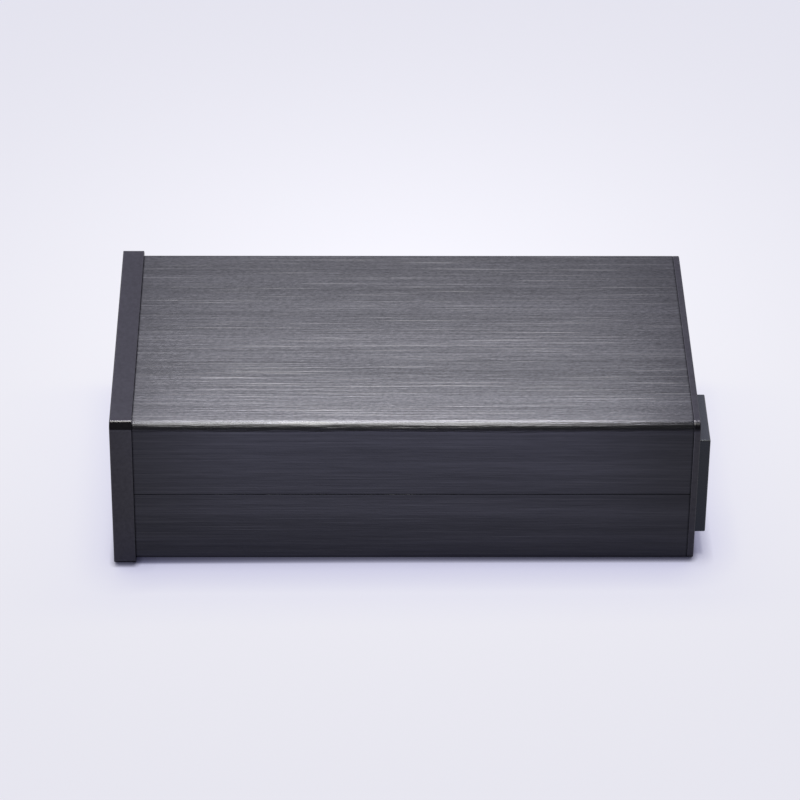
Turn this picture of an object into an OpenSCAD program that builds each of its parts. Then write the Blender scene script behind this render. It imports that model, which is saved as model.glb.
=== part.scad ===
// Amplifier chassis: two extruded half shells that interlock along both sides,
// closed by a thick front panel and by a thin rear panel that holds a mains inlet.
// The front faces -Y, the chassis stands on z = 0 and all lengths are in millimetres.

/* [Shell] */
// Outer width of the closed shell
shell_w = 88; // [76:1:160]
// Outer height of the closed shell
shell_h = 45.6; // [45:0.2:90]
// Length of the half shells
shell_l = 152; // [80:1:300]
// Thickness of the shell's walls
wall = 2; // [1.6:0.1:2.4]
// Radius of the four long outer edges
edge_r = 3; // [1:0.1:4]
// Bevel that each half has along the parting line
parting_bevel = 0.15; // [0.1:0.05:0.5]

/* [Interlock] */
// Thickness of a half shell's tongue
tongue_t = 1; // [0.8:0.1:1.2]
// Height of a half shell's tongue
tongue_h = 1.2; // [0.8:0.1:2]
// Gap around a tongue in its groove
tongue_gap = 0.1; // [0.05:0.05:0.2]
// Wall on either side of a groove
groove_cheek = 1; // [0.8:0.1:1.2]
// Height of the thick band that holds the groove
band_h = 3; // [2.6:0.1:3.6]

/* [Board slots] */
// Width of a board slot
slot_w = 1.8; // [1.4:0.1:2]
// Depth of a board slot
slot_d = 1.8; // [1.2:0.1:2]
// Thickness of the ribs beside a slot
rib_t = 1.2; // [0.8:0.1:1.4]
// Height of the first slot above the parting line
slot_first = 6; // [5.8:0.1:6.4]
// Distance from one slot to the next
slot_pitch = 5.5; // [5:0.1:5.8]
// Number of slots in each side of a half shell
slot_count = 2; // [1:1:2]

/* [Front panel] */
// Thickness of the front panel
front_t = 6; // [3:0.5:10]
// Height by which the front panel stands proud of the shell
front_lip = 0.9; // [0.5:0.1:3]
// Bevel of the front panel's four corners
front_bevel = 1.8; // [0.5:0.1:3]
// Bevel around the front panel's front face
front_edge = 0.3; // [0.1:0.1:0.8]

/* [Rear panel] */
// Thickness of the rear panel
rear_t = 1.8; // [1.4:0.1:2.5]

/* [Panel screws] */
// Mean diameter of the screw threads
thread_d = 2.7; // [2.4:0.1:3]
// Gap between a thread and its channel
thread_gap = 0.05; // [0.02:0.01:0.1]
// Diameter of the countersunk heads
head_d = 5.5; // [5:0.1:5.8]
// Height of the straight rim of a head
head_rim = 0.1; // [0.05:0.05:0.2]
// Gap between a head and its countersink
head_gap = 0.05; // [0.02:0.01:0.1]
// Diameter of the clearance holes in the panels
screw_hole_d = 3.2; // [3.1:0.1:3.6]
// Distance of each screw's axis from the shell's outer faces
screw_inset = 4.2; // [4.2:0.1:4.5]
// Length of the front screws
front_screw_l = 12; // [10:1:20]
// Length of the rear screws
rear_screw_l = 8; // [5:1:16]
// Width of the hexagonal drive across its flats
drive_af = 2; // [1.5:0.1:2.2]
// Depth of the hexagonal drive
drive_depth = 1.2; // [0.8:0.1:1.6]
// Wall around a screw channel
channel_wall = 1.3; // [1:0.1:1.5]
// Width of the mouth along a screw channel
channel_mouth = 1.2; // [0.8:0.1:1.6]
// Bevel at both ends of a screw channel
channel_lead = 0.4; // [0.3:0.1:0.8]

/* [Mains inlet] */
// Width of the recess for the connector
recess_w = 16.4; // [16:0.1:17]
// Height of the recess for the connector
recess_h = 24.4; // [24:0.1:25]
// Bevel of the recess's two corners on the earth side
recess_bevel = 4.2; // [3.8:0.1:4.6]
// Thickness of the wall around the recess
recess_wall = 1.4; // [1.2:0.1:1.6]
// Thickness of the wall behind the recess
recess_floor = 2.2; // [1.5:0.1:3]
// Length of the body behind the flange
body_l = 15; // [13:0.5:20]
// Corner radius of the body
body_r = 2; // [1:0.1:2.5]
// Gap between the body and the rear panel
cutout_gap = 0.15; // [0.1:0.05:0.3]
// Width of the flange's rim around the body
flange_rim = 1.7; // [1.5:0.1:2]
// Thickness of the inlet's flange
flange_t = 3.2; // [2:0.1:4]
// Corner radius of the inlet's flange
flange_r = 0.4; // [0.3:0.1:2]
// Bevel around the flange's outer face
flange_edge = 0.2; // [0.1:0.05:0.25]
// Distance from the shell's right side to the flange
inlet_inset = 3.6; // [3.6:0.1:40]

/* [Inlet latches] */
// Width of each latch
latch_w = 8; // [5:0.5:10]
// Length of each latch
latch_l = 8; // [6:0.5:10]
// Thickness of each latch
latch_t = 0.8; // [0.6:0.1:1]
// Height of a latch's free end above the body
latch_rise = 1.4; // [1:0.1:1.6]
// Length of a latch's root
latch_root = 1.2; // [0.8:0.1:2]
// Gap between the latches and the rear panel
latch_gap = 0.1; // [0.05:0.05:0.3]
// Depth of the pocket that a latch springs into
pocket_d = 0.7; // [0.4:0.1:0.9]
// Gap on either side of a latch in its pocket
pocket_gap = 0.4; // [0.2:0.1:0.8]

/* [Inlet pins] */
// Width of the inlet's pins
pin_w = 4; // [3.8:0.1:4.2]
// Thickness of the inlet's pins
pin_t = 2; // [1.9:0.1:2.1]
// Depth of the line and neutral pins' tips behind the flange's face
pin_setback = 2.9; // [2:0.1:4]
// Extra length of the earth pin
earth_extra = 1.2; // [0:0.1:2]
// Length of the bevel at a pin's tip
pin_tip = 0.8; // [0.4:0.1:1]
// Distance between the line and neutral pins
pin_pitch = 14; // [13.5:0.1:14.5]
// Distance of the pins from the recess's middle plane
pin_offset = 2; // [1.8:0.1:2.2]
// Gap between a pin and the wall that it passes through
pin_gap = 0.05; // [0.02:0.01:0.1]
// Width of the tabs behind the pins
tab_w = 4.8; // [4.4:0.1:6.3]
// Thickness of the tabs behind the pins
tab_t = 0.8; // [0.5:0.1:1]
// Length of the tabs behind the pins
tab_l = 8; // [5:0.5:12]
// Diameter of the hole in each tab
tab_hole_d = 1.8; // [1.2:0.1:2.4]

/* [Hidden] */
$fn = 64;
// Overrun of the tools that cut through a face
over = 1;

// Places along the depth, from the front face to the inlet's outer face
depth = front_t + shell_l + rear_t + flange_t;
front_y = -depth / 2;
shell_y = front_y + front_t;
rear_y = shell_y + shell_l;
flange_y = rear_y + rear_t;

// Heights and the screws' places
half_h = shell_h / 2;
parting_z = front_lip + half_h;
screw_x = shell_w / 2 - screw_inset;
screw_z = half_h - screw_inset;

// Interlock: a groove is a tongue with its gap, and the band holds it between two cheeks
groove_t = tongue_t + 2 * tongue_gap;
groove_h = tongue_h + tongue_gap;
band_t = groove_t + 2 * groove_cheek;

// Screw channels and countersunk heads
channel_d = thread_d + 2 * thread_gap;
head_cone = (head_d - thread_d) / 2;
sink_d = head_d + 2 * head_gap;

// The inlet's body and flange around the recess, and the inlet's place on the rear panel
body_w = recess_w + 2 * recess_wall;
body_h = recess_h + 2 * recess_wall;
flange_w = body_w + 2 * flange_rim;
flange_h = body_h + 2 * flange_rim;
inlet_x = shell_w / 2 - inlet_inset - flange_w / 2;

// How far a latch's root sinks into the body, and the length of the pins in the recess
root_sink = recess_wall - pocket_d;
pin_l = flange_t + body_l - recess_floor - pin_setback;

// A prism along +Y, from y = 0, of an outline drawn with its up direction along z
module along_y(length) {
    translate([0, length, 0])
        rotate([90, 0, 0])
            linear_extrude(length)
                children();
}

// A rectangle about the origin with round corners
module round_rect(w, h, r) {
    square([w, h - 2 * r], center = true);
    square([w - 2 * r, h], center = true);
    for (x = [-1, 1], y = [-1, 1])
        translate([x * (w / 2 - r), y * (h / 2 - r)])
            circle(r);
}

// A rectangle about the origin with bevelled corners
module bevel_rect(w, h, bevel) {
    x = w / 2;
    y = h / 2;
    polygon([[-x + bevel, -y], [x - bevel, -y], [x, -y + bevel], [x, y - bevel],
             [x - bevel, y], [-x + bevel, y], [-x, y - bevel], [-x, -y + bevel]]);
}

// The section of a plate that lies on y = 0, with a bevel along both far edges
module plate_section(w, t, edge) {
    x = w / 2;
    polygon([[-x, 0], [x, 0], [x, t - edge], [x - edge, t], [-x + edge, t], [-x, t - edge]]);
}

// A bar along z with the section of a plate, about z = 0
module plate_bar(w, t, edge, length) {
    linear_extrude(length, center = true)
        plate_section(w, t, edge);
}

// Half shell's outline

// The outer skin of a half shell above the parting line
module half_skin(w, h, r) {
    translate([-w / 2, 0])
        square([w, h - r]);
    translate([-w / 2 + r, 0])
        square([w - 2 * r, h]);
    for (x = [-1, 1])
        translate([x * (w / 2 - r), h - r])
            circle(r);
}

// The ribs that hold a board's edge, on the right wall
module board_slots() {
    rib_x = shell_w / 2 - wall - slot_d;
    for (i = [0 : slot_count - 1], side = [-1, 1])
        translate([rib_x, slot_first + i * slot_pitch + side * (slot_w + rib_t) / 2 - rib_t / 2])
            square([slot_d + wall / 2, rib_t]);
}

// The thick band along the parting line, on the right wall
module parting_band() {
    translate([shell_w / 2 - band_t, 0])
        square([band_t - wall / 2, band_h]);
}

// The wall of the screw channel in the right corner, which fills the corner behind it
module channel_boss() {
    translate([screw_x, screw_z]) {
        circle(d = channel_d + 2 * channel_wall);
        square(screw_inset - wall / 2);
    }
}

// The bore of the right screw channel and the mouth that opens it towards the inside
module channel_bore() {
    translate([screw_x, screw_z]) {
        circle(d = channel_d);
        rotate(225)
            translate([0, -channel_mouth / 2])
                square([channel_d / 2 + channel_wall + over, channel_mouth]);
    }
}

// The bevel of the right outer edge at the parting line
module parting_cut() {
    translate([shell_w / 2, 0])
        rotate(45)
            square(parting_bevel * sqrt(2), center = true);
}

// The outline of the upper half: a tongue on its left side and a groove on its right
module half_outline() {
    tongue_x = shell_w / 2 - groove_cheek - groove_t / 2;
    difference() {
        union() {
            difference() {
                half_skin(shell_w, half_h, edge_r);
                translate([-shell_w / 2 + wall, -over])
                    square([shell_w - 2 * wall, half_h - wall + over]);
            }
            intersection() {
                half_skin(shell_w, half_h, edge_r);
                for (side = [0, 1])
                    mirror([side, 0]) {
                        board_slots();
                        parting_band();
                        channel_boss();
                    }
            }
            translate([-tongue_x - tongue_t / 2, -tongue_h])
                square([tongue_t, tongue_h + over]);
        }
        translate([tongue_x - groove_t / 2, -over])
            square([groove_t, groove_h + over]);
        for (side = [0, 1])
            mirror([side, 0]) {
                channel_bore();
                parting_cut();
            }
    }
}

// The bevel at a screw channel's end, as a cone that narrows along +Z
module channel_end() {
    translate([0, 0, -over])
        cylinder(h = channel_lead + over, d1 = channel_d + 2 * (channel_lead + over), d2 = channel_d);
}

module half_shell() {
    difference() {
        along_y(shell_l)
            half_outline();
        for (x = [-1, 1], end = [0, 1])
            translate([x * screw_x, end * shell_l, screw_z])
                rotate([end == 0 ? -90 : 90, 0, 0])
                    channel_end();
    }
}

module upper_shell() {
    color([0.10, 0.10, 0.11])
        translate([0, shell_y, parting_z])
            half_shell();
}

module lower_shell() {
    color([0.09, 0.09, 0.10])
        translate([0, shell_y, parting_z])
            rotate([0, 180, 0])
                half_shell();
}

// Panels and their screws

// Places its children at the four screws, with z of the middle at the parting line
module at_screws() {
    for (x = [-1, 1], z = [-1, 1])
        translate([x * screw_x, 0, parting_z + z * screw_z])
            children();
}

// A cutter for a countersunk hole that goes along +Z from its mouth at z = 0
module countersink(t) {
    cone = (sink_d - screw_hole_d) / 2;
    translate([0, 0, -over])
        cylinder(h = over + head_rim, d = sink_d);
    translate([0, 0, head_rim])
        cylinder(h = cone, d1 = sink_d, d2 = screw_hole_d);
    cylinder(h = t + over, d = screw_hole_d);
}

// A countersunk screw that goes along +Z from its flat face at z = 0
module screw(length) {
    difference() {
        union() {
            cylinder(h = head_rim, d = head_d);
            translate([0, 0, head_rim])
                cylinder(h = head_cone, d1 = head_d, d2 = thread_d);
            cylinder(h = length, d = thread_d);
        }
        translate([0, 0, -over])
            cylinder(h = drive_depth + over, d = drive_af / cos(30), $fn = 6);
    }
}

// The front panel's plate, from y = 0 to its front face, with a bevel around that face
module front_plate(w, h) {
    intersection() {
        along_y(front_t)
            bevel_rect(w, h, front_bevel);
        plate_bar(w, front_t, front_edge, h);
        rotate([0, 90, 0])
            plate_bar(h, front_t, front_edge, w);
    }
}

module front_panel() {
    color([0.12, 0.12, 0.13])
        difference() {
            translate([0, shell_y, parting_z])
                mirror([0, 1, 0])
                    front_plate(shell_w + 2 * front_lip, shell_h + 2 * front_lip);
            translate([0, front_y, 0])
                at_screws()
                    rotate([-90, 0, 0])
                        countersink(front_t);
        }
}

module rear_panel() {
    color([0.12, 0.12, 0.13])
        difference() {
            translate([0, rear_y, parting_z])
                along_y(rear_t)
                    round_rect(shell_w, shell_h, edge_r);
            translate([inlet_x, rear_y - over, parting_z])
                along_y(rear_t + 2 * over)
                    round_rect(body_w + 2 * cutout_gap, body_h + 2 * cutout_gap, body_r);
            translate([0, flange_y, 0])
                at_screws()
                    rotate([90, 0, 0])
                        countersink(rear_t);
        }
}

module front_screws() {
    color([0.16, 0.16, 0.17])
        translate([0, front_y, 0])
            at_screws()
                rotate([-90, 0, 0])
                    screw(front_screw_l);
}

module rear_screws() {
    color([0.16, 0.16, 0.17])
        translate([0, flange_y, 0])
            at_screws()
                rotate([90, 0, 0])
                    screw(rear_screw_l);
}

// Mains inlet, drawn about its own middle with y = 0 at the rear panel's outer face

// The recess for the connector, with two bevelled corners on the earth side
module recess_outline() {
    x = recess_w / 2;
    y = recess_h / 2;
    polygon([[x, -y], [x, y], [-x + recess_bevel, y], [-x, y - recess_bevel],
             [-x, -y + recess_bevel], [-x + recess_bevel, -y]]);
}

// A prism across the body's upper end, drawn from the latch's free end with up along z
module across_end(width) {
    translate([-width / 2, -rear_t - latch_gap, body_h / 2])
        rotate([90, 0, 90])
            linear_extrude(width)
                children();
}

// A tongue on the body's upper end that springs out behind the rear panel
module latch() {
    across_end(latch_w)
        polygon([[0, latch_rise], [0, latch_rise - latch_t], [latch_root - latch_l, -pocket_d],
                 [latch_root - latch_l, -pocket_d - root_sink], [-latch_l - root_sink, -pocket_d - root_sink],
                 [-latch_l - root_sink, 0], [-latch_l, 0]]);
}

// The pocket that the latch is pressed into as the inlet is pushed through the rear panel
module latch_pocket() {
    across_end(latch_w + 2 * pocket_gap)
        translate([-latch_l, -pocket_d])
            square([latch_l, pocket_d + over]);
}

// Places its children at a pin: side is 1 for line, -1 for neutral and 0 for earth
module at_pin(side) {
    translate([side == 0 ? -pin_offset : pin_offset, 0, side * pin_pitch / 2])
        children();
}

// The slot that a pin passes through behind the recess
module pin_slot() {
    slot_l = recess_floor + 2 * over;
    translate([0, -body_l + recess_floor / 2, 0])
        cube([pin_w + 2 * pin_gap, slot_l, pin_t + 2 * pin_gap], center = true);
}

// The flange: two bars that cross, with a bevelled disc in each corner
module flange() {
    plate_bar(flange_w, flange_t, flange_edge, flange_h - 2 * flange_r);
    rotate([0, 90, 0])
        plate_bar(flange_h, flange_t, flange_edge, flange_w - 2 * flange_r);
    for (x = [-1, 1], z = [-1, 1])
        translate([x * (flange_w / 2 - flange_r), 0, z * (flange_h / 2 - flange_r)])
            rotate([-90, 0, 0]) {
                cylinder(h = flange_t - flange_edge, r = flange_r);
                translate([0, 0, flange_t - flange_edge])
                    cylinder(h = flange_edge, r1 = flange_r, r2 = flange_r - flange_edge);
            }
}

module inlet_housing() {
    color([0.13, 0.13, 0.14])
        translate([inlet_x, flange_y, parting_z])
            difference() {
                union() {
                    flange();
                    difference() {
                        translate([0, -body_l, 0])
                            along_y(body_l + over)
                                round_rect(body_w, body_h, body_r);
                        for (end = [0, 1])
                            mirror([0, 0, end])
                                latch_pocket();
                    }
                    for (end = [0, 1])
                        mirror([0, 0, end])
                            latch();
                }
                translate([0, -body_l + recess_floor, 0])
                    along_y(body_l + flange_t + over)
                        recess_outline();
                for (side = [-1, 0, 1])
                    at_pin(side)
                        pin_slot();
            }
}

// One pin: a blade in the recess with a bevelled tip, and a flat tab behind the housing
module pin(length) {
    blade_l = recess_floor + length;
    translate([0, -body_l, 0])
        difference() {
            union() {
                intersection() {
                    translate([-pin_w / 2, 0, 0])
                        rotate([90, 0, 90])
                            linear_extrude(pin_w)
                                tip_outline(blade_l, pin_t);
                    translate([0, 0, -pin_t / 2])
                        linear_extrude(pin_t)
                            rotate(-90)
                                mirror([1, 0])
                                    tip_outline(blade_l, pin_w);
                }
                translate([-tab_w / 2, -tab_l, -tab_t / 2])
                    cube([tab_w, tab_l, tab_t]);
            }
            translate([0, -tab_l + tab_w / 2, -tab_t])
                cylinder(h = 2 * tab_t, d = tab_hole_d);
        }
}

// The outline of a blade from x = 0 to its bevelled tip
module tip_outline(length, width) {
    y = width / 2;
    polygon([[0, -y], [length - pin_tip, -y], [length, -y + pin_tip / 2],
             [length, y - pin_tip / 2], [length - pin_tip, y], [0, y]]);
}

module inlet_pin(side, length) {
    color([0.72, 0.71, 0.68])
        translate([inlet_x, flange_y, parting_z])
            at_pin(side)
                pin(length);
}

module line_pin() {
    inlet_pin(1, pin_l);
}

module neutral_pin() {
    inlet_pin(-1, pin_l);
}

module earth_pin() {
    inlet_pin(0, pin_l + earth_extra);
}

upper_shell();
lower_shell();
front_panel();
rear_panel();
front_screws();
rear_screws();
inlet_housing();
line_pin();
neutral_pin();
earth_pin();
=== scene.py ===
"""Amplifier chassis in black anodised aluminium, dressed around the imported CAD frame.

The front faces -Y, +Z is up and all lengths are in metres. The camera looks at the +X side.
"""

import math

import bmesh
import bpy
from mathutils import Matrix, Vector


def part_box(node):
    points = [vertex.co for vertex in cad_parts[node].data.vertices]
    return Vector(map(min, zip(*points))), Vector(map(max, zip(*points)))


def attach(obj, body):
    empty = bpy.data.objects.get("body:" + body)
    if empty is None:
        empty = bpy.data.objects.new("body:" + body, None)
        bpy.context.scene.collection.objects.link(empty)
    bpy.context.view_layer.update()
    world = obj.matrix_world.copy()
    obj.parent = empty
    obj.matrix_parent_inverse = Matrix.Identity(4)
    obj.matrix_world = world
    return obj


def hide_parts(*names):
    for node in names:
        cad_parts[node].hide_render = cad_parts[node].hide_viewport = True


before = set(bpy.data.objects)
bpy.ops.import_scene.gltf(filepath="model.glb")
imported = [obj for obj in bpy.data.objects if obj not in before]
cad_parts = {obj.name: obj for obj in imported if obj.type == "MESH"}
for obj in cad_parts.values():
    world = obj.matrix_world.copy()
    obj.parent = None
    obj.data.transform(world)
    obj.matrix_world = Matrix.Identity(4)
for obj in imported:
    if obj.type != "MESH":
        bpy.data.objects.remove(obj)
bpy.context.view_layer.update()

MM = 0.001
WHITE = (1, 1, 1, 1)

# Camera, fitted to the edges in the photograph
IMAGE_SIDE = 800
FOCAL_PIXELS = 3981
SENSOR_MM = 36
CAMERA_YAW = math.radians(1.060)
CAMERA_PITCH = math.radians(34.250)
CAMERA_ROLL = math.radians(-0.601)
CAMERA_DISTANCE = 1122 * MM
AIM_BEHIND_SHELL_FRONT = 73.16 * MM
AIM_ABOVE_SHELL_BASE = 23.97 * MM

# Floor: its own colour, the glow that the camera sees and the share of it that metal mirrors
FLOOR_SIDE = 6.0
FLOOR_COLOUR = (0.10, 0.098, 0.042, 1)
FLOOR_ROUGHNESS = 0.9
FLOOR_GLOW = (0.73, 0.727, 0.845, 1)
FLOOR_MIRRORED = 0.285

# Round pool of light on the floor beyond the chassis
FAR_POOL = 0.20
FAR_POOL_CENTRE = (-90 * MM, 0, 0)
FAR_POOL_RADIUS = 240 * MM

# Pools of light on the floor that metal mirrors, at distances from the shell's sides
SIDE_POOL = 0.46
SIDE_POOL_STARTS = 8 * MM
SIDE_POOL_FULL = 76 * MM
SIDE_POOL_HALF_LENGTH = 66 * MM
SIDE_POOL_FADE = 20 * MM

# Soft shadows on the floor, each with its reach, its direction to the light and its shade
SHADOWS = (
    (1.8 * MM, (-0.5, -0.1, 0.86), (0.03, 0.03, 0.05, 1)),
    (6 * MM, (0.6, -0.7, 0.4), (0.07, 0.07, 0.15, 1)),
    (14 * MM, (-0.7, -0.15, 0.7), (0.67, 0.67, 0.83, 1)),
)
SHADOW_SAMPLES = 8

# Painted floor shadow at the gap under the shell's sides, fading from the front panel towards the
# rear
GAP_SHADE = (0.40, 0.40, 0.46, 1)
GAP_DARK_INSIDE = 1.0 * MM
GAP_CLEAR_OUTSIDE = 0.6 * MM
GAP_STARTS = 1.5 * MM
GAP_LENGTH = 70 * MM

# Painted floor shadow at the foot of the rear panel, under the inlet's flange
FOOT_SHADE = (0.76, 0.76, 0.80, 1)
FOOT_DARK = 2.3 * MM
FOOT_CLEAR = 3.4 * MM
FOOT_FADE = 0.8 * MM

# Sky: what the camera sees of it, its light on the camera's side and on the far side, with the X of
# the direction where each is reached, and how much more of it comes from the front
SKY_COLOUR = (1.0, 0.985, 1.0, 1)
SKY_SEEN = 0.85
SKY_NEAR = 0.18
SKY_NEAR_X = 0.4
SKY_FAR = 0.54
SKY_FAR_X = -0.5
SKY_LEAN = 0.4

# Dark patch in the sky above the camera, with the cosines of its rim and of its core
FLAG_DIRECTION = (0.53, 0.0, 0.85)
FLAG_DEPTH = 0.84
FLAG_RIM = 0.55
FLAG_CORE = 0.9

# Soft lights over the chassis, at elevations counted from the side that the camera sees
SOFTBOXES = (
    {"name": "near_softbox", "colour": (1.0, 0.985, 0.80), "middle_y": 0.0,
     "elevation": math.radians(106), "distance": 200 * MM,
     "width": 50 * MM, "length": 170 * MM, "radiance": 13.3},
    {"name": "upper_softbox", "colour": (1.0, 0.995, 0.74), "middle_y": -18 * MM,
     "elevation": math.radians(82), "distance": 500 * MM,
     "width": 220 * MM, "length": 180 * MM, "radiance": 6.0},
)

# Rounding of the sharp edges, with the widths as upper limits
SHARP_ANGLE = math.radians(25)
SMOOTH_ANGLE = math.radians(30)
FLAT_ANGLE = math.radians(0.5)
ROUNDING_SEGMENTS = 4
ROUND_PROFILE = 0.5
CORNER_EDGE = 0.35 * MM
PANEL_EDGE = 0.12 * MM
REAR_EDGE = 0.20 * MM
SHELL_EDGE = 0.15 * MM
FLANGE_EDGE = 0.12 * MM

# Tests for edges and faces: distances from a box's outside and from the parting line, the most that
# a slanted face's normal has along X or Z and along Y, and tolerances
OUTLINE_REACH = 0.9 * MM
PARTING_REACH = 0.1 * MM
SLANTED_NORMAL = 0.97
SIDEWAYS_NORMAL = 0.1
TOLERANCE = 0.001 * MM
MERGE_DISTANCE = 0.0001 * MM

# Noise: the range that most of it lies in, its detail, and a turn that keeps it from lining up
NOISE_LOW = 0.3
NOISE_HIGH = 0.7
STREAK_DETAIL = 2.0
STREAK_ROUGHNESS = 0.55
GRAIN_DETAIL = 3.0
GRAIN_ROUGHNESS = 0.6
NOISE_TURN = (0.6, 0.4, 0.9)
NO_TURN = (0.0, 0.0, 0.0)

# Brushed shell: width and length of each kind of mark
SHORT_MARKS = (0.45 * MM, 9 * MM)
LASTING_MARKS = (0.8 * MM, 60 * MM)
BROAD_BANDS = (6 * MM, 300 * MM)
SPECKS = (0.5 * MM, 1.1 * MM)
SCRATCHES = (0.4 * MM, 36 * MM)
WAVES = (1.5 * MM, 15 * MM)
SHORT_DETAIL = 3.0
SCRATCH_DETAIL = 0.0
BANDS_START = 18.6

# Brushed shell: shares of short marks, lasting marks and bands in its tone, and the tone's range
TONE_SHARES = (0.22, 0.26, 0.48)
TONE_RANGE = (0.385, 0.625)
BRUSHED_COLOURS = ((0.088, 0.0882, 0.119, 1), (0.130, 0.1298, 0.175, 1))
SPECK_GLINTS = (0.74, 1.26)
SCRATCH_COLOUR = (0.45, 0.45, 0.55, 1)
SCRATCH_STRENGTH = 0.24
SCRATCH_RANGE = (0.65, 0.77)
SCRATCHES_ON_SIDES = 0.2

# Brushed shell: roughness by tone and by bands, less the polish of its roundings, with the ranges
# of the normal's Z over which the polish comes in and the top becomes level
BRUSHED_ROUGHNESS = (0.35, 0.31)
BAND_ROUGHNESS = (-0.02, 0.02)
POLISH = 0.085
POLISH_RANGE = (0.05, 0.35)
LEVEL_RANGE = (0.95, 0.995)
BRUSHED_ANISOTROPY = 0.83

# Brushed shell: heights of short marks, lasting marks and waves, in parts of the relief's depth
RELIEF_SHARES = (0.09, 0.09, 0.10)
RELIEF_DEPTH = 1.0 * MM

# Painted shade along the seam at the shells' ends, where they meet the panels
SEAM_PAINTED_SHADE = (0.60, 0.60, 0.62, 1)
SEAM_WIDTH = 0.5 * MM

# Satin panels
SATIN_GRAIN = 0.2 * MM
SATIN_SPECKLE = 1.0 * MM
SATIN_CLOUD = 12 * MM
SATIN_SHARES = (0.7, 0.3)
SATIN_COLOURS = ((0.092, 0.089, 0.121, 1), (0.133, 0.130, 0.175, 1))
SATIN_ROUGHNESS = (0.20, 0.25)
# Panel edges lightened towards a pale colour: partly rubbed anodising, partly a painted highlight
SATIN_WEAR_HIGHLIGHT_SIZE = 0.8 * MM
SATIN_WEAR_HIGHLIGHT = (0.05, 0.12)
SATIN_WORN_HIGHLIGHT_COLOUR = (0.60, 0.60, 0.70, 1)
SATIN_BUMP = 0.5
SATIN_BUMP_DEPTH = 0.004 * MM

# Inlet's plastic
PLASTIC_GRAIN = 0.25 * MM
PLASTIC_CLOUD = 6 * MM
PLASTIC_COLOURS = ((0.009, 0.0095, 0.018, 1), (0.013, 0.0135, 0.026, 1))
PLASTIC_ROUGHNESS = (0.25, 0.33)
# Flange edges lightened towards a paler colour: partly wear, partly a painted highlight
PLASTIC_WEAR_HIGHLIGHT = (0.3, 0.7)
PLASTIC_WORN_HIGHLIGHT_COLOUR = (0.16, 0.16, 0.18, 1)
PLASTIC_BUMP = 0.5
PLASTIC_BUMP_DEPTH = 0.01 * MM
PLASTIC_IOR = 2.1
PLASTIC_TINT = (0.69, 0.75, 1.0, 1)

# Screws' black oxide
OXIDE_GRAIN = 0.15 * MM
OXIDE_CLOUD = 1.5 * MM
OXIDE_COLOURS = ((0.03, 0.03, 0.032, 1), (0.06, 0.058, 0.056, 1))
OXIDE_METALLIC = 0.6
OXIDE_ROUGHNESS = (0.3, 0.45)
OXIDE_BUMP = 0.4
OXIDE_BUMP_DEPTH = 0.008 * MM

# Pins' nickel plating
PLATING_LINES = (0.1 * MM, 4 * MM)
PLATING_CLOUD = 2 * MM
PLATING_COLOURS = ((0.62, 0.60, 0.56, 1), (0.74, 0.72, 0.68, 1))
PLATING_ROUGHNESS = (0.16, 0.32)
PLATING_BUMP = 0.3
PLATING_BUMP_DEPTH = 0.004 * MM

# Factor and two colours among the inputs of a Mix node, and the colour among its outputs
MIX_INPUTS = (0, 6, 7)
MIX_RESULT = 2

shell_low, shell_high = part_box("lower_shell")
_, upper_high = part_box("upper_shell")
front_low, front_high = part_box("front_panel")
rear_low, rear_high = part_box("rear_panel")
inlet_low, inlet_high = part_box("inlet_housing")


def feed(tree, socket, value):
    """Gives an input a link from another node's output, or a plain value."""
    if isinstance(value, bpy.types.NodeSocket):
        tree.links.new(value, socket)
    else:
        socket.default_value = value


def fill(tree, node, **values):
    """Sets a node's properties and feeds its inputs, by name, with underscores for spaces."""
    for name, value in values.items():
        if hasattr(node, name):
            setattr(node, name, value)
        else:
            feed(tree, node.inputs[name.replace("_", " ")], value)
    return node


def add(tree, kind, **values):
    """A new node with these properties and inputs."""
    return fill(tree, tree.nodes.new("ShaderNode" + kind), **values)


def maths(tree, operation, first, second=0.0):
    """The result of a Math node on values or sockets."""
    node = add(tree, "Math", operation=operation)
    for socket, value in zip(node.inputs, (first, second)):
        feed(tree, socket, value)
    return node.outputs["Value"]


def product(tree, first, *others):
    """Values or sockets multiplied by each other."""
    for other in others:
        first = maths(tree, "MULTIPLY", first, other)
    return first


def mixed(tree, *shares):
    """The sum of sockets, each times its share."""
    total = 0.0
    for value, share in shares:
        total = maths(tree, "ADD", total, product(tree, value, share))
    return total


def ranged(tree, value, low, high, from_low=NOISE_LOW, from_high=NOISE_HIGH, kind="LINEAR"):
    """The value, mapped from its own range to low and high, and held there outside it."""
    node = add(tree, "MapRange", interpolation_type=kind, Value=value,
               From_Min=from_low, From_Max=from_high, To_Min=low, To_Max=high)
    return node.outputs["Result"]


def blended(tree, factor, first, second, kind="MIX"):
    """The first colour where the factor is 0; the second, or the two multiplied, where it is 1."""
    node = add(tree, "Mix", data_type="RGBA", blend_type=kind)
    for index, value in zip(MIX_INPUTS, (factor, first, second)):
        feed(tree, node.inputs[index], value)
    return node.outputs[MIX_RESULT]


def shaded(tree, colour, factor, first, second):
    """The colour times the first shade where the factor is 0, and the second where it is 1."""
    return blended(tree, 1.0, colour, blended(tree, factor, first, second), "MULTIPLY")


def position(tree):
    """A surface's place in the object's own frame."""
    return add(tree, "TexCoord").outputs["Object"]


def split(tree, vector):
    """The X, Y and Z of a vector, by name."""
    return add(tree, "SeparateXYZ", Vector=vector).outputs


def beyond(tree, value, low, high):
    """How far a value lies outside the range from low to high, below 0 inside it."""
    middle = (low + high) / 2
    from_middle = maths(tree, "ABSOLUTE", maths(tree, "SUBTRACT", value, middle))
    return maths(tree, "SUBTRACT", from_middle, high - middle)


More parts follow.
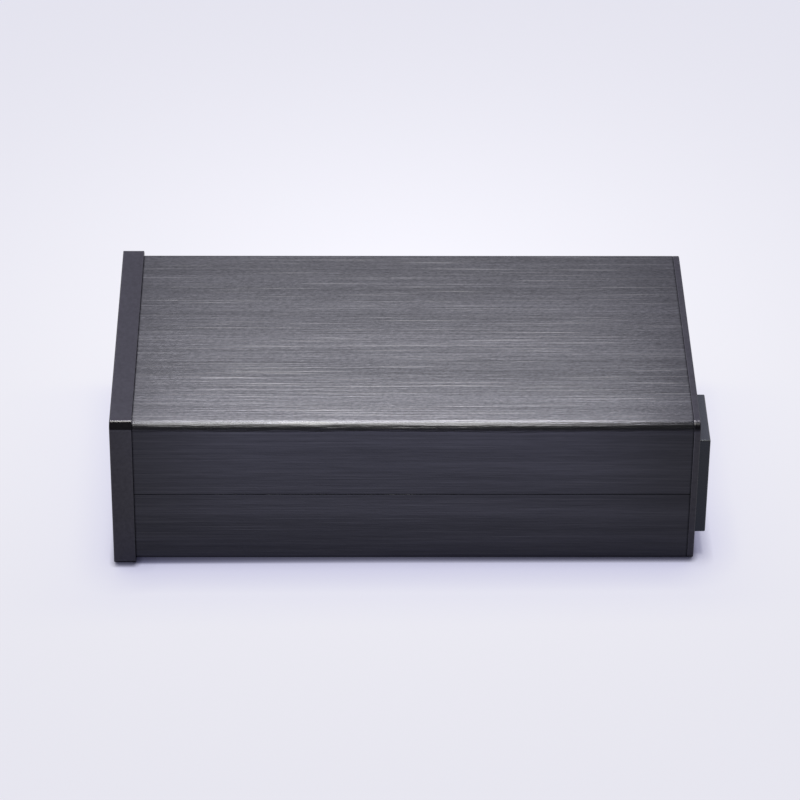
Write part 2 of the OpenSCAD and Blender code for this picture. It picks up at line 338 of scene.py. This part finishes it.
def streaks(tree, size, detail=STREAK_DETAIL, start=0.0, turn=NOISE_TURN):
    """Noise drawn out along Y, by width and length; start and turn pick its pattern."""
    width, length = size
    drawn = add(tree, "Mapping", Vector=position(tree), Location=(start,) * 3, Rotation=turn,
                Scale=(1 / width, 1 / length, 1 / width))
    noise = add(tree, "TexNoise", Vector=drawn.outputs["Vector"], Scale=1.0, Detail=detail,
                Roughness=STREAK_ROUGHNESS)
    return noise.outputs["Fac"]


def grain(tree, size):
    """Even noise of this size."""
    noise = add(tree, "TexNoise", Vector=position(tree), Scale=1 / size, Detail=GRAIN_DETAIL,
                Roughness=GRAIN_ROUGHNESS)
    return noise.outputs["Fac"]


def toned(tree, noise, colours):
    """A colour between a dark and a light one, by noise."""
    return blended(tree, ranged(tree, noise, 0.0, 1.0), *colours)


def worn_and_highlit_edges(tree, colour, noise, wear_and_highlight, worn_highlight_colour):
    """The colour, lightened where the mesh is marked as edge: partly rubbed edges, partly a painted
    highlight along them.
    """
    edge = add(tree, "Attribute", attribute_name="edge")
    worn_and_highlit = product(tree, edge.outputs["Fac"], ranged(tree, noise, *wear_and_highlight))
    return blended(tree, worn_and_highlit, colour, worn_highlight_colour)


def bumped(tree, height, strength, depth):
    """The normal of a surface with this relief."""
    bump = add(tree, "Bump", Height=height, Strength=strength, Distance=depth)
    return bump.outputs["Normal"]


def new_material(name):
    """A material, its node tree and its shader."""
    material = bpy.data.materials.new(name)
    material.use_nodes = True
    tree = material.node_tree
    return material, tree, tree.nodes["Principled BSDF"]


def shell_ends(tree):
    """How near the shells' front and rear ends are, from 0 to 1."""
    past_ends = beyond(tree, split(tree, position(tree))["Y"], shell_low.y, shell_high.y)
    return ranged(tree, past_ends, 0.0, 1.0, -SEAM_WIDTH, -SEAM_WIDTH / 2)


def brushed_metal():
    """Black anodised aluminium, brushed along the length of the shell."""
    material, tree, shader = new_material("shell_brushed")
    short = streaks(tree, SHORT_MARKS, SHORT_DETAIL)
    lasting = streaks(tree, LASTING_MARKS)
    bands = streaks(tree, BROAD_BANDS, start=BANDS_START, turn=NO_TURN)
    tone = mixed(tree, *zip((short, lasting, bands), TONE_SHARES))
    facing_up = split(tree, add(tree, "NewGeometry").outputs["Normal"])["Z"]
    level = ranged(tree, facing_up, 0.0, 1.0, *LEVEL_RANGE)
    rounded = maths(tree, "SUBTRACT", 1.0, level)

    colour = blended(tree, ranged(tree, tone, 0.0, 1.0, *TONE_RANGE), *BRUSHED_COLOURS)
    glints = ranged(tree, streaks(tree, SPECKS), *SPECK_GLINTS)
    colour = shaded(tree, colour, level, WHITE, glints)
    # Painted shade along the seams where the shells meet the panels
    colour = shaded(tree, colour, shell_ends(tree), WHITE, SEAM_PAINTED_SHADE)
    scratches = streaks(tree, SCRATCHES, SCRATCH_DETAIL)
    scratches = ranged(tree, scratches, 0.0, SCRATCH_STRENGTH, *SCRATCH_RANGE)
    upward = ranged(tree, facing_up, SCRATCHES_ON_SIDES, 1.0, 0.0, 1.0)
    colour = blended(tree, product(tree, scratches, upward), colour, SCRATCH_COLOUR)

    rough = maths(tree, "ADD", ranged(tree, tone, *BRUSHED_ROUGHNESS, *TONE_RANGE),
                  ranged(tree, bands, *BAND_ROUGHNESS))
    polish = product(tree, rounded, ranged(tree, facing_up, 0.0, POLISH, *POLISH_RANGE))
    waves = product(tree, streaks(tree, WAVES), rounded)
    height = mixed(tree, *zip((short, lasting, waves), RELIEF_SHARES))
    around = add(tree, "Tangent", direction_type="RADIAL", axis="Y")
    fill(tree, shader, Base_Color=colour, Metallic=1.0,
         Roughness=maths(tree, "SUBTRACT", rough, polish),
         Normal=bumped(tree, height, 1.0, RELIEF_DEPTH),
         Anisotropic=BRUSHED_ANISOTROPY, Tangent=around.outputs["Tangent"])
    return material


def satin_metal():
    """Black anodised aluminium with a fine blasted grain."""
    material, tree, shader = new_material("panel_satin")
    fine = grain(tree, SATIN_GRAIN)
    patches = (grain(tree, SATIN_SPECKLE), grain(tree, SATIN_CLOUD))
    colour = toned(tree, mixed(tree, *zip(patches, SATIN_SHARES)), SATIN_COLOURS)
    wear_and_highlight = grain(tree, SATIN_WEAR_HIGHLIGHT_SIZE)
    # Edges lightened, partly as wear and partly as a painted highlight
    fill(tree, shader, Metallic=1.0, Roughness=ranged(tree, fine, *SATIN_ROUGHNESS),
         Base_Color=worn_and_highlit_edges(tree, colour, wear_and_highlight, SATIN_WEAR_HIGHLIGHT, SATIN_WORN_HIGHLIGHT_COLOUR),
         Normal=bumped(tree, fine, SATIN_BUMP, SATIN_BUMP_DEPTH))
    return material


def moulded_plastic():
    """Black moulded plastic with a fine spark-eroded grain."""
    material, tree, shader = new_material("inlet_plastic")
    fine = grain(tree, PLASTIC_GRAIN)
    colour = toned(tree, grain(tree, PLASTIC_CLOUD), PLASTIC_COLOURS)
    # Edges lightened, partly as wear and partly as a painted highlight
    fill(tree, shader, Roughness=ranged(tree, fine, *PLASTIC_ROUGHNESS),
         Base_Color=worn_and_highlit_edges(tree, colour, fine, PLASTIC_WEAR_HIGHLIGHT, PLASTIC_WORN_HIGHLIGHT_COLOUR),
         Normal=bumped(tree, fine, PLASTIC_BUMP, PLASTIC_BUMP_DEPTH),
         IOR=PLASTIC_IOR, Specular_Tint=PLASTIC_TINT)
    return material


def black_oxide():
    """Black-oxided steel with a cloudy tone."""
    material, tree, shader = new_material("screw_black")
    fine = grain(tree, OXIDE_GRAIN)
    fill(tree, shader, Base_Color=toned(tree, grain(tree, OXIDE_CLOUD), OXIDE_COLOURS),
         Metallic=OXIDE_METALLIC, Roughness=ranged(tree, fine, *OXIDE_ROUGHNESS),
         Normal=bumped(tree, fine, OXIDE_BUMP, OXIDE_BUMP_DEPTH))
    return material


def plated_metal():
    """Nickel plating with fine drawing lines along the pins."""
    material, tree, shader = new_material("pin_plated")
    lines = streaks(tree, PLATING_LINES)
    fill(tree, shader, Base_Color=toned(tree, grain(tree, PLATING_CLOUD), PLATING_COLOURS),
         Metallic=1.0, Roughness=ranged(tree, lines, *PLATING_ROUGHNESS),
         Normal=bumped(tree, lines, PLATING_BUMP, PLATING_BUMP_DEPTH))
    return material


def on_outline(low, high):
    """A test for edges whose two ends lie near the outside of a box, seen along Y."""
    def is_near(place):
        gaps = (place.x - low.x, high.x - place.x, place.z - low.z, high.z - place.z)
        return min(gaps) < OUTLINE_REACH

    return lambda edge: all(is_near(v.co) for v in edge.verts)


around_shell = on_outline(shell_low, upper_high)
around_front = on_outline(front_low, front_high)
around_rear = on_outline(rear_low, rear_high)
around_flange = on_outline(inlet_low, inlet_high)


def on_shell_end(edge):
    """A test for the edges around the ends of the closed shell, away from the parting line."""
    first, second = (v.co for v in edge.verts)
    flat = abs(first.y - second.y) < TOLERANCE
    parting = (shell_low.z + upper_high.z) / 2
    away = min(abs(first.z - parting), abs(second.z - parting)) > PARTING_REACH
    return flat and away and around_shell(edge)


def on_front_corner(edge):
    """A test for the front panel's outer edges that run from front to rear."""
    first, second = (v.co for v in edge.verts)
    along = abs(first.x - second.x) + abs(first.z - second.z) < TOLERANCE
    return along and around_front(edge)


def on_flange_corner(face):
    """A test for the faces of the rounded corners around the inlet's flange."""
    across, along, up = (abs(part) for part in face.normal)
    slanted = max(across, up) < SLANTED_NORMAL and along < SIDEWAYS_NORMAL
    outside = all(v.co.y > rear_high.y - TOLERANCE for v in face.verts)
    return slanted and outside and all(around_flange(edge) for edge in face.edges)


def soften(name, slot, material, *roundings, worn_and_highlit=None):
    """Puts a copy of a CAD node in its place, with its sharp edges rounded off.

    Each rounding is a width and a test for the edges that get it. The keyword argument after them
    is a test for other faces that are marked as edge, which the materials lighten: partly wear,
    partly painted highlight.
    """
    shape = bmesh.new()
    shape.from_mesh(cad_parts[name].data)
    bmesh.ops.remove_doubles(shape, verts=shape.verts, dist=MERGE_DISTANCE)
    bmesh.ops.dissolve_limit(shape, angle_limit=FLAT_ANGLE, verts=shape.verts, edges=shape.edges)
    edge_faces = shape.faces.layers.float.new("edge")
    for width, wanted in roundings:
        sharp = [e for e in shape.edges
                 if e.is_convex and e.calc_face_angle(0) > SHARP_ANGLE and wanted(e)]
        made = bmesh.ops.bevel(shape, geom=sharp, offset=width, offset_type="OFFSET",
                               segments=ROUNDING_SEGMENTS, profile=ROUND_PROFILE,
                               affect="EDGES", clamp_overlap=True)
        for face in made["faces"]:
            face[edge_faces] = 1.0
    bmesh.ops.dissolve_degenerate(shape, dist=MERGE_DISTANCE, edges=shape.edges)
    if worn_and_highlit:
        shape.normal_update()
        for face in filter(worn_and_highlit, shape.faces):
            face[edge_faces] = 1.0
    mesh = bpy.data.meshes.new(name + "_finished")
    shape.to_mesh(mesh)
    shape.free()
    mesh.materials.append(material)
    mesh.shade_smooth()
    mesh.set_sharp_from_angle(angle=SMOOTH_ANGLE)
    piece = bpy.data.objects.new(name + "_finished", mesh)
    bpy.context.scene.collection.objects.link(piece)
    normals = piece.modifiers.new("even_faces", "WEIGHTED_NORMAL")
    normals.keep_sharp = True
    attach(piece, "root")
    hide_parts(name)


def set_camera():
    """A camera that looks along -X, turned to the rear by yaw and down by pitch, and rolled."""
    forward = Vector((-math.cos(CAMERA_YAW) * math.cos(CAMERA_PITCH),
                      math.sin(CAMERA_YAW) * math.cos(CAMERA_PITCH),
                      -math.sin(CAMERA_PITCH)))
    right = Vector((math.sin(CAMERA_YAW), math.cos(CAMERA_YAW), 0))
    down = forward.cross(right)
    turn = Matrix.Rotation(CAMERA_ROLL, 3, forward)
    right = turn @ right
    down = turn @ down
    aim = Vector((0, shell_low.y + AIM_BEHIND_SHELL_FRONT, shell_low.z + AIM_ABOVE_SHELL_BASE))
    data = bpy.data.cameras.new("camera")
    data.sensor_width = SENSOR_MM
    data.lens = FOCAL_PIXELS / IMAGE_SIDE * SENSOR_MM
    camera = bpy.data.objects.new("camera", data)
    axes = Matrix((right, -down, -forward)).transposed()
    camera.matrix_world = Matrix.Translation(aim - CAMERA_DISTANCE * forward) @ axes.to_4x4()
    bpy.context.scene.collection.objects.link(camera)
    bpy.context.scene.camera = camera


def far_pool(tree):
    """The brightness of the floor, with a round pool of light beyond the chassis."""
    scaled = add(tree, "Mapping", Vector=position(tree), Scale=(1 / FAR_POOL_RADIUS,) * 3,
                 Location=tuple(-c / FAR_POOL_RADIUS for c in FAR_POOL_CENTRE))
    pool = add(tree, "TexGradient", gradient_type="QUADRATIC_SPHERE",
               Vector=scaled.outputs["Vector"])
    return maths(tree, "ADD", product(tree, pool.outputs["Fac"], FAR_POOL), 1.0)


def side_pool(tree):
    """The brightness of the floor that metal mirrors, with a pool of light along each side."""
    place = split(tree, position(tree))
    past_sides = beyond(tree, place["X"], shell_low.x, shell_high.x)
    past_ends = beyond(tree, place["Y"], -SIDE_POOL_HALF_LENGTH, SIDE_POOL_HALF_LENGTH)
    beside = ranged(tree, past_sides, 0.0, 1.0, SIDE_POOL_STARTS, SIDE_POOL_FULL, "SMOOTHSTEP")
    within = ranged(tree, past_ends, 1.0, 0.0, -SIDE_POOL_FADE, SIDE_POOL_FADE, "SMOOTHSTEP")
    return maths(tree, "ADD", product(tree, beside, within, SIDE_POOL), FLOOR_MIRRORED)


def front_gap(tree):
    """Painted shadow on the floor at the gap under the shell, widest just behind the front panel.
    """
    place = split(tree, position(tree))
    past_sides = beyond(tree, place["X"], shell_low.x, shell_high.x)
    under = ranged(tree, past_sides, 1.0, 0.0, -GAP_DARK_INSIDE, GAP_CLEAR_OUTSIDE, "SMOOTHSTEP")
    behind = ranged(tree, place["Y"], 0.0, 1.0, front_high.y - GAP_STARTS, front_high.y)
    fading = ranged(tree, place["Y"], 1.0, 0.0, front_high.y, front_high.y + GAP_LENGTH)
    return product(tree, under, behind, fading)


def rear_foot(tree):
    """Painted shadow on the floor at the foot of the rear panel, under the inlet's flange."""
    place = split(tree, position(tree))
    past_flange = beyond(tree, place["X"], inlet_low.x, inlet_high.x)
    under = ranged(tree, past_flange, 1.0, 0.0, -FOOT_FADE, FOOT_FADE, "SMOOTHSTEP")
    behind = ranged(tree, place["Y"], 0.0, 1.0, rear_low.y, rear_high.y)
    near = ranged(tree, place["Y"], 1.0, 0.0, rear_high.y + FOOT_DARK, rear_high.y + FOOT_CLEAR,
                  "SMOOTHSTEP")
    return product(tree, under, behind, near)


def shadowed(tree, colour):
    """The colour, darkened near the chassis."""
    for reach, (x, y, z), shade in SHADOWS:
        to_light = add(tree, "CombineXYZ", X=x, Y=y, Z=z)
        near = add(tree, "AmbientOcclusion", samples=SHADOW_SAMPLES, Distance=reach,
                   Normal=to_light.outputs["Vector"])
        colour = shaded(tree, colour, near.outputs["AO"], shade, WHITE)
    colour = shaded(tree, colour, front_gap(tree), WHITE, GAP_SHADE)
    return shaded(tree, colour, rear_foot(tree), WHITE, FOOT_SHADE)


def add_floor():
    """A pale floor under the chassis, tilted because the front panel reaches below the shell."""
    bpy.ops.mesh.primitive_plane_add(size=FLOOR_SIDE)
    floor = bpy.context.object
    floor.name = "floor"
    slope = (rear_low.z - front_low.z) / (rear_high.y - front_high.y)
    floor.rotation_euler.x = math.atan(slope)
    floor.location.z = front_low.z - slope * front_high.y
    material, tree, shader = new_material("floor")
    rays = add(tree, "LightPath").outputs
    mirrors = maths(tree, "MAXIMUM", rays["Is Glossy Ray"], rays["Is Transmission Ray"])
    glow = maths(tree, "ADD", product(tree, rays["Is Camera Ray"], far_pool(tree)),
                 product(tree, mirrors, side_pool(tree)))
    fill(tree, shader, Base_Color=FLOOR_COLOUR, Roughness=FLOOR_ROUGHNESS, Specular_IOR_Level=0.0,
         Emission_Color=shadowed(tree, FLOOR_GLOW), Emission_Strength=glow)
    floor.data.materials.append(material)


def add_softbox(name, colour, middle_y, elevation, distance, width, length, radiance):
    """A soft light with its length along Y, turned to the top of the shell."""
    data = bpy.data.lights.new(name, "AREA")
    data.shape = "RECTANGLE"
    data.size = length
    data.size_y = width
    data.energy = radiance * math.pi * length * width
    data.color = colour
    lamp = bpy.data.objects.new(name, data)
    aim = Vector((0, middle_y, upper_high.z))
    away = Vector((math.cos(elevation), 0, math.sin(elevation)))
    across = Vector((0, 1, 0))
    axes = Matrix((across, away.cross(across), away)).transposed()
    lamp.matrix_world = Matrix.Translation(aim + distance * away) @ axes.to_4x4()
    bpy.context.scene.collection.objects.link(lamp)


def add_sky():
    """Light from all round, weaker on the camera's side and with a dark patch above the camera."""
    world = bpy.data.worlds.new("studio")
    bpy.context.scene.world = world
    world.use_nodes = True
    tree = world.node_tree
    direction = add(tree, "TexCoord").outputs["Generated"]
    parts = split(tree, direction)
    level = ranged(tree, parts["X"], SKY_FAR, SKY_NEAR, SKY_FAR_X, SKY_NEAR_X)
    to_flag = add(tree, "VectorMath", operation="DOT_PRODUCT")
    for socket, value in zip(to_flag.inputs, (direction, FLAG_DIRECTION)):
        feed(tree, socket, value)
    flag = ranged(tree, to_flag.outputs["Value"], 1.0, 1.0 - FLAG_DEPTH, FLAG_RIM, FLAG_CORE)
    lean = maths(tree, "SUBTRACT", 1.0, product(tree, parts["Y"], SKY_LEAN))
    seen = add(tree, "LightPath").outputs["Is Camera Ray"]
    unseen = maths(tree, "SUBTRACT", 1.0, seen)
    strength = mixed(tree, (seen, SKY_SEEN), (unseen, product(tree, level, flag, lean)))
    fill(tree, tree.nodes["Background"], Color=SKY_COLOUR, Strength=strength)


brushed = brushed_metal()
satin = satin_metal()
plastic = moulded_plastic()
oxide = black_oxide()
plated = plated_metal()

soften("upper_shell", "shell_brushed", brushed, (SHELL_EDGE, on_shell_end))
soften("lower_shell", "shell_brushed", brushed, (SHELL_EDGE, on_shell_end))
soften("front_panel", "panel_satin", satin, (CORNER_EDGE, on_front_corner),
       (PANEL_EDGE, around_front))
soften("rear_panel", "panel_satin", satin, (REAR_EDGE, around_rear))
# The flange's rounded corners are marked as edge, for their lightening: partly wear, partly painted
# highlight
soften("inlet_housing", "inlet_plastic", plastic, (FLANGE_EDGE, around_flange),
       worn_and_highlit=on_flange_corner)

FINISHES = {
    "front_screws": oxide,
    "rear_screws": oxide,
    "line_pin": plated,
    "neutral_pin": plated,
    "earth_pin": plated,
}
for name, material in FINISHES.items():
    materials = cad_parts[name].data.materials
    materials.clear()
    materials.append(material)

set_camera()
add_floor()
for softbox in SOFTBOXES:
    add_softbox(**softbox)
add_sky()
bpy.context.scene.view_settings.view_transform = "Standard"
